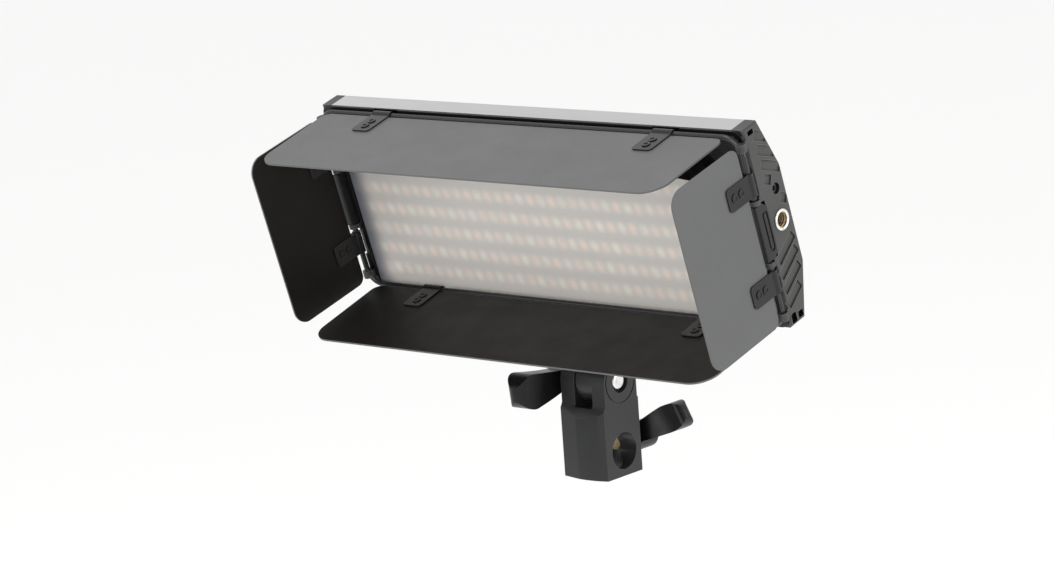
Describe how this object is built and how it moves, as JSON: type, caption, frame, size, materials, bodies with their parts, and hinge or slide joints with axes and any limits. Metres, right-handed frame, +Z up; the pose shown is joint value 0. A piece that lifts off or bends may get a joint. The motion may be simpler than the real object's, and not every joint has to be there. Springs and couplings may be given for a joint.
{
  "type": "led panel light",
  "caption": "Slim LED panel light with barn doors, a frosted diffuser, rear controls and a battery plate, on a tilting bracket for a light stand spigot.",
  "frame": {"origin": "centre of the mouth of the upright spigot bore, at the bottom of the stand bracket", "axes": "+X to the light's right as seen from the front camera side, front of the light towards -Y, +Z up along the spigot bore"},
  "size_m": [0.24, 0.1252, 0.1712],
  "materials": {
    "shell_aluminium": "satin anodised",
    "cap_plastic": "fine moulded grain",
    "bezel_plastic": "satin black",
    "clip_plastic": "satin",
    "diffuser_plastic": "frosted",
    "white_plastic": "matt white",
    "board": "white solder mask",
    "driver_pcb": "solder mask",
    "warm_led": "phosphor",
    "cool_led": "phosphor",
    "bright_steel": "plated",
    "dark_steel": "blackened",
    "rod_steel": "satin black",
    "door_metal": "satin black powder coat",
    "hinge_metal": "satin black",
    "bracket_metal": "fine texture black",
    "knob_plastic": "satin",
    "control_plastic": "satin",
    "display_glass": "gloss",
    "brass": "machined",
    "gold_contact": "plated",
    "pad_rubber": "matt",
    "nylon": "natural"
  },
  "bodies": {
    "bracket": {"stand_bracket": "bracket_metal", "clamp_bush": "brass", "friction_washers": "nylon", "tilt_bolt": "bright_steel"},
    "tilt_head": {"tilt_head": "bracket_metal", "quarter_inch_stud": "bright_steel"},
    "ring_pad": {"ring_pad": "pad_rubber"},
    "lock_ring": {"lock_ring": "bracket_metal"},
    "head": {"housing_shell": "shell_aluminium", "end_cap_left": "cap_plastic", "end_cap_right": "cap_plastic", "side_insert_left": "bright_steel", "side_insert_right": "bright_steel", "cap_screws": "dark_steel", "front_bezel": "bezel_plastic", "diffuser": "diffuser_plastic", "inner_frame": "white_plastic", "led_board": "board", "warm_leds": "warm_led", "cool_leds": "cool_led", "board_screws": "bright_steel", "door_frame": "rod_steel", "frame_clip_left": "clip_plastic", "frame_clip_right": "clip_plastic", "rear_housing": "cap_plastic", "rear_screws": "dark_steel", "driver_board": "driver_pcb", "knob_shafts": "bright_steel", "display_window": "display_glass", "display_module": "board", "switch_frame": "control_plastic", "power_jack": "control_plastic", "battery_plate": "cap_plastic", "plate_screws": "dark_steel", "battery_contacts": "gold_contact", "base_block": "bracket_metal", "base_insert": "bright_steel", "base_screws": "dark_steel"},
    "door_top": {"door_top": "door_metal", "door_top_hinges": "hinge_metal", "door_top_rivets": "hinge_metal"},
    "door_bottom": {"door_bottom": "door_metal", "door_bottom_hinges": "hinge_metal", "door_bottom_rivets": "hinge_metal"},
    "door_left": {"door_left": "door_metal", "door_left_hinges": "hinge_metal", "door_left_rivets": "hinge_metal"},
    "door_right": {"door_right": "door_metal", "door_right_hinges": "hinge_metal", "door_right_rivets": "hinge_metal"},
    "tilt_knob": {"tilt_knob": "knob_plastic", "tilt_knob_nut": "brass"},
    "clamp_pad": {"clamp_pad": "brass"},
    "clamp_knob": {"clamp_knob": "knob_plastic", "clamp_screw": "bright_steel"},
    "brightness_knob": {"brightness_knob": "control_plastic"},
    "colour_knob": {"colour_knob": "control_plastic"},
    "power_switch": {"power_switch": "control_plastic"},
    "battery_latch": {"battery_latch": "control_plastic"}
  },
  "joints": [
    {"name": "head_tilt", "type": "hinge", "parent": "bracket", "child": "tilt_head", "pos_m": [0, 0, 0.0425], "axis": [-1, 0, 0], "range_deg": [-70, 105]},
    {"name": "head_pan", "type": "hinge", "parent": "tilt_head", "child": "head", "pos_m": [0, -0.00665, 0.07465], "axis": [0, -0.279, 0.9603], "range_deg": [-90, 90]},
    {"name": "ring_travel", "type": "slide", "parent": "tilt_head", "child": "ring_pad", "axis": [0, -0.279, 0.9603], "range_m": [-0.00107, 0.00001]},
    {"name": "ring_turn", "type": "hinge", "parent": "ring_pad", "child": "lock_ring", "pos_m": [0, -0.00554, 0.07081], "axis": [0, -0.279, 0.9603], "range_deg": [-300, 0]},
    {"name": "tilt_knob_turn", "type": "hinge", "parent": "bracket", "child": "tilt_knob", "pos_m": [-0.018, 0, 0.0425], "axis": [-1, 0, 0], "range_deg": [-180, 180]},
    {"name": "clamp_travel", "type": "slide", "parent": "bracket", "child": "clamp_pad", "axis": [0, -1, 0], "range_m": [-0.0007, 0.0013]},
    {"name": "clamp_turn", "type": "hinge", "parent": "clamp_pad", "child": "clamp_knob", "pos_m": [0, 0.02, 0.01125], "axis": [0, -1, 0], "range_deg": [-180, 360]},
    {"name": "door_top_hinge", "type": "hinge", "parent": "head", "child": "door_top", "pos_m": [0, -0.04011, 0.16167], "axis": [1, 0, 0], "range_deg": [-110, 88]},
    {"name": "door_bottom_hinge", "type": "hinge", "parent": "head", "child": "door_bottom", "pos_m": [0, -0.01617, 0.07928], "axis": [-1, 0, 0], "range_deg": [-22, 88]},
    {"name": "door_left_hinge", "type": "hinge", "parent": "head", "child": "door_left", "pos_m": [-0.1177, -0.02814, 0.12047], "axis": [0, 0.279, -0.9603], "range_deg": [-90, 110]},
    {"name": "door_right_hinge", "type": "hinge", "parent": "head", "child": "door_right", "pos_m": [0.1177, -0.02814, 0.12047], "axis": [0, -0.279, 0.9603], "range_deg": [-89, 110]},
    {"name": "brightness_turn", "type": "hinge", "parent": "head", "child": "brightness_knob", "pos_m": [0.057, 0.00378, 0.13964], "axis": [0, 0.9603, 0.279], "continuous": true},
    {"name": "colour_turn", "type": "hinge", "parent": "head", "child": "colour_knob", "pos_m": [0.057, 0.00908, 0.1214], "axis": [0, 0.9603, 0.279], "continuous": true},
    {"name": "switch_rock", "type": "hinge", "parent": "head", "child": "power_switch", "pos_m": [0.025, 0.00643, 0.11906], "axis": [0, -0.279, 0.9603], "range_deg": [-16, 0]},
    {"name": "latch_press", "type": "slide", "parent": "head", "child": "battery_latch", "axis": [0, -0.9603, -0.279], "range_m": [0, 0.0015], "stiffness_N_per_m": 300}
  ],
  "couplings": [
    {"joint": "ring_travel", "follows": "ring_turn", "m_per_rad": 0.00020213},
    {"joint": "clamp_travel", "follows": "clamp_turn", "m_per_rad": 0.00019894}
  ]
}
